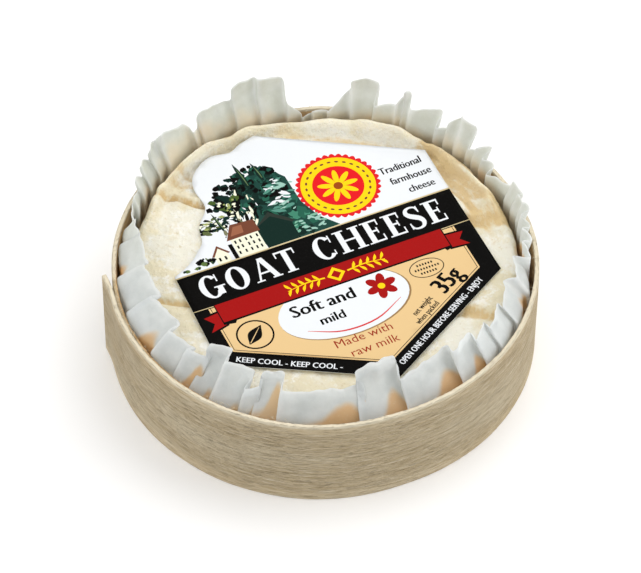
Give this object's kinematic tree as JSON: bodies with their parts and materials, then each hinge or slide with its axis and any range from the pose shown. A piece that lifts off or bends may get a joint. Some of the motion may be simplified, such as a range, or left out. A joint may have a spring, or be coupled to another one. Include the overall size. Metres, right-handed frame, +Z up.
{
  "type": "boxed soft cheese wheel",
  "caption": "Small soft cheese wheel in a pleated greaseproof cup and a round open veneer box, with a printed hexagonal paper label on top.",
  "frame": {"origin": "middle of the whole object's outline seen from above, on the surface the box stands on", "axes": "+Z up out of the open box; -Y is the front, from where the label is read; +X to its right"},
  "size_m": [0.0704, 0.0702, 0.0265],
  "materials": {
    "veneer": "matte",
    "greaseproof_paper": "satin",
    "cheese_rind": "satin",
    "printed_paper": "satin"
  },
  "bodies": {
    "root": {"box_band": "veneer", "box_base": "veneer", "paper_cup": "greaseproof_paper", "cheese": "cheese_rind", "label": "printed_paper"}
  },
  "joints": []
}
